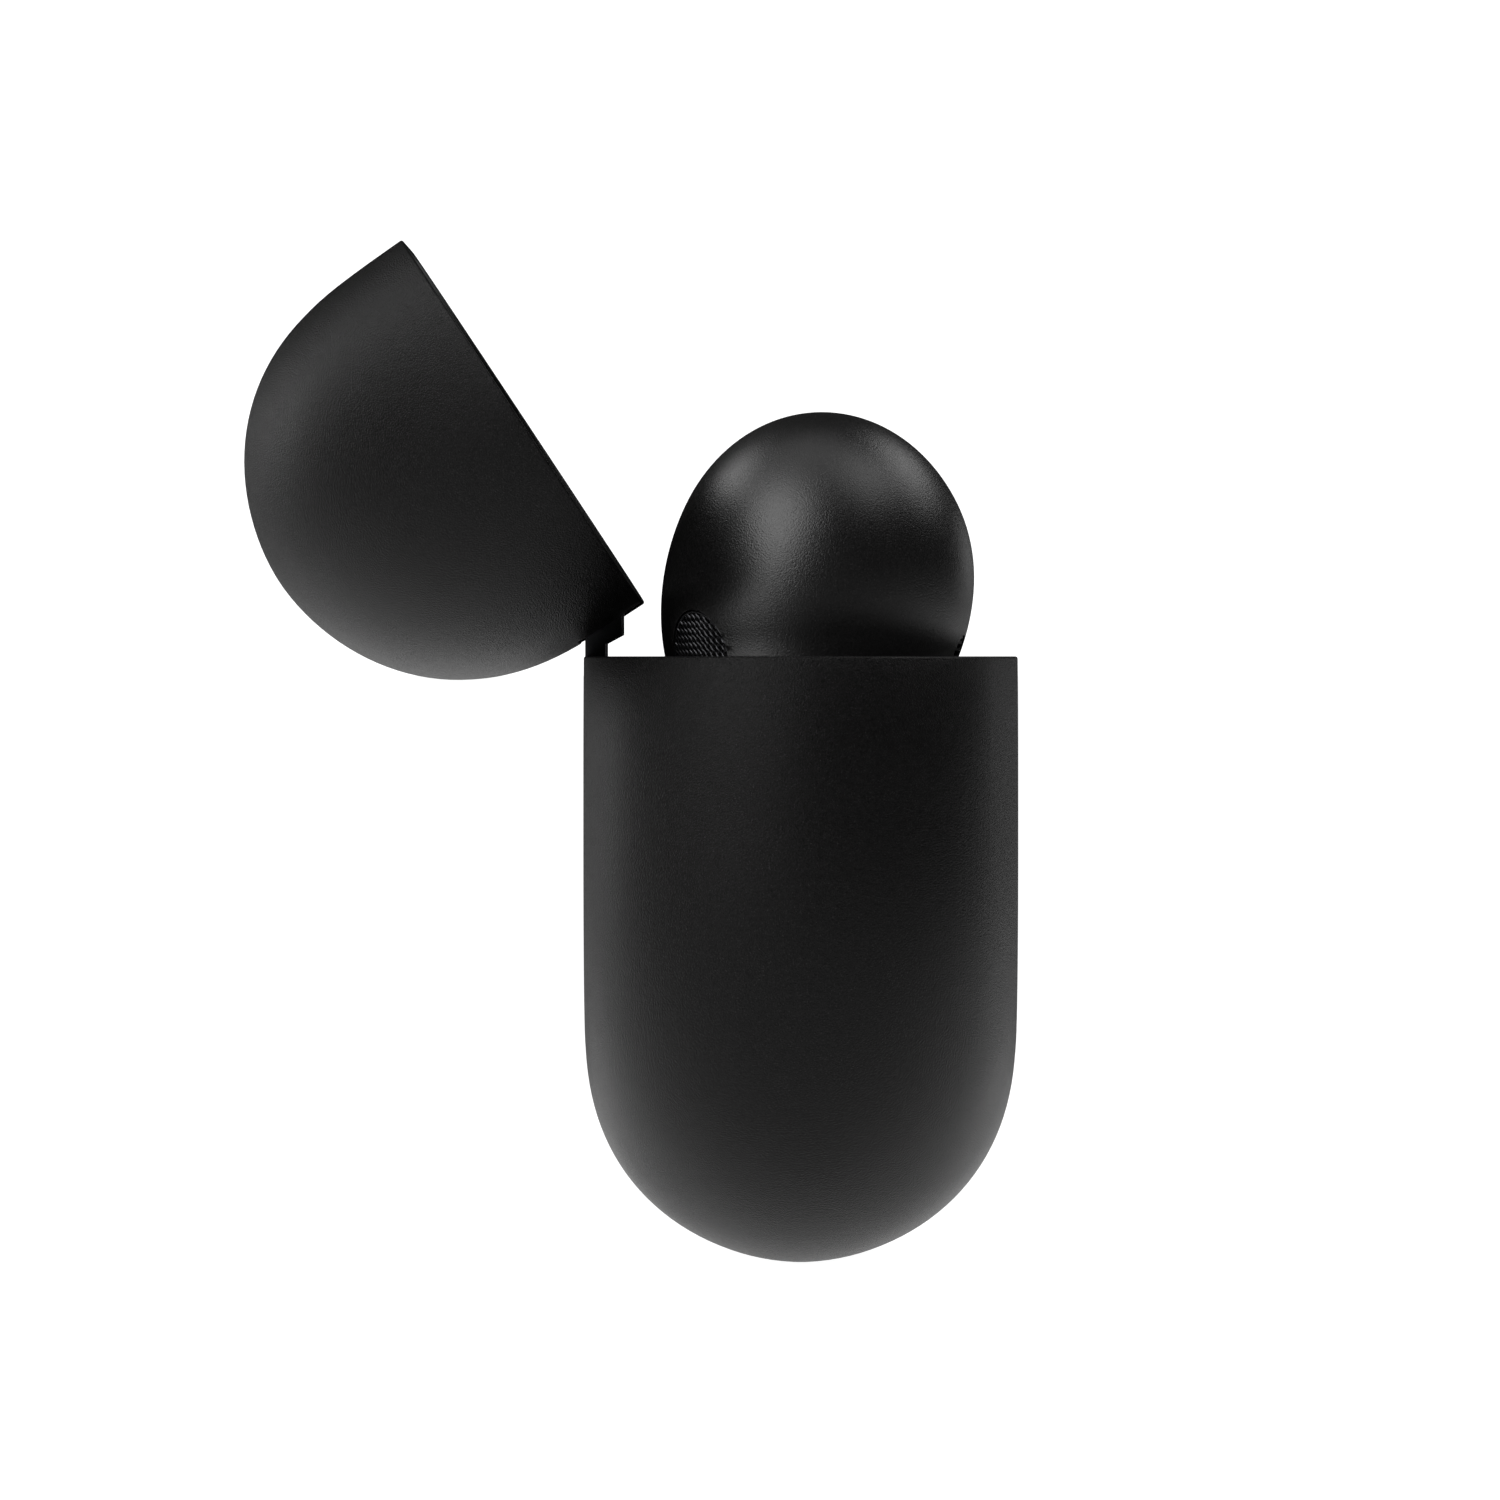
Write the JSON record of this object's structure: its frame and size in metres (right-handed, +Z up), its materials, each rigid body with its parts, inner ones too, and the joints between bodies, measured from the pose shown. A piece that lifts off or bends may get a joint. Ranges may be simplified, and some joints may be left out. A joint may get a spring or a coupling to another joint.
{
  "type": "wireless earbuds case",
  "caption": "Pebble-shaped charging case for wireless earbuds, standing open with its lid swung back on a rear hinge and the earbuds seated in their wells.",
  "frame": {"origin": "the middle of the charge connector's tongue tip, 0.6 mm above the lowest point of the upright case", "axes": "+Z up through the lid, X along the case's width, -Y out of the front, +Y out of the back where the hinge is"},
  "size_m": [0.0606, 0.0388, 0.0512],
  "materials": {
    "case_shell": "soft-touch matte black with a fine grain",
    "earbud_shell": "soft-touch matte black with a fine grain",
    "inner_plastic": "smooth satin black moulding",
    "hinge_metal": "satin black painted metal",
    "stem_metal": "satin black metal",
    "metal_mesh": "fine woven black metal mesh",
    "steel": "brushed",
    "magnet": "nickel plated",
    "contact_gold": "gold plated",
    "copper": "enamelled copper wire",
    "circuit_board": "solder-masked board",
    "cell_wrap": "foil pouch",
    "ferrite": "matte ferrite sheet",
    "component_plastic": "moulded black component",
    "light_lens": "smoked translucent lens"
  },
  "bodies": {
    "case": {"body_magnet_left": "magnet", "body_magnet_right": "magnet", "body_shell": "case_shell", "bracket_screw_left": "steel", "bracket_screw_right": "steel", "case_battery": "cell_wrap", "charging_coil": "copper", "coil_ferrite": "ferrite", "earbud_tray": "inner_plastic", "hall_sensor": "component_plastic", "hinge_bracket": "hinge_metal", "hinge_pin": "steel", "hinge_spring_left": "steel", "hinge_spring_right": "steel", "left_contact_inner": "contact_gold", "left_contact_outer": "contact_gold", "main_board": "circuit_board", "port_bezel": "hinge_metal", "port_shell": "steel", "port_tongue": "component_plastic", "right_contact_inner": "contact_gold", "right_contact_outer": "contact_gold", "setup_switch": "component_plastic", "shield_can": "steel", "status_led": "light_lens", "status_light_lens": "light_lens"},
    "lid": {"hinge_leaf": "hinge_metal", "leaf_screw_left": "steel", "leaf_screw_right": "steel", "lid_liner": "inner_plastic", "lid_magnet_left": "magnet", "lid_magnet_right": "magnet", "lid_shell": "case_shell"},
    "left_earbud": {"left_antenna_board": "circuit_board", "left_bass_slot_mesh": "metal_mesh", "left_cell": "cell_wrap", "left_driver": "steel", "left_head_board": "circuit_board", "left_inner_housing": "earbud_shell", "left_neck_magnet": "magnet", "left_outer_housing": "earbud_shell", "left_speaker_mesh": "metal_mesh", "left_stem_cap": "stem_metal", "left_vent_mesh": "metal_mesh"},
    "right_earbud": {"right_antenna_board": "circuit_board", "right_bass_slot_mesh": "metal_mesh", "right_cell": "cell_wrap", "right_driver": "steel", "right_head_board": "circuit_board", "right_inner_housing": "earbud_shell", "right_neck_magnet": "magnet", "right_outer_housing": "earbud_shell", "right_speaker_mesh": "metal_mesh", "right_stem_cap": "stem_metal", "right_vent_mesh": "metal_mesh"},
    "setup_button": {"setup_button": "case_shell"}
  },
  "joints": [
    {"name": "lid_hinge", "type": "hinge", "parent": "case", "child": "lid", "pos_m": [0, 0.0101, 0.03203], "axis": [1, 0, 0], "range_deg": [0, 123.5]},
    {"name": "left_earbud_lift", "type": "slide", "parent": "case", "child": "left_earbud", "axis": [0, 0, 1], "range_m": [0, 0.036]},
    {"name": "right_earbud_lift", "type": "slide", "parent": "case", "child": "right_earbud", "axis": [0, 0, 1], "range_m": [0, 0.036]},
    {"name": "setup_button_press", "type": "slide", "parent": "case", "child": "setup_button", "axis": [0, -1, 0], "range_m": [0, 0.0003], "stiffness_N_per_m": 1500, "springref_m": -0.0003}
  ]
}
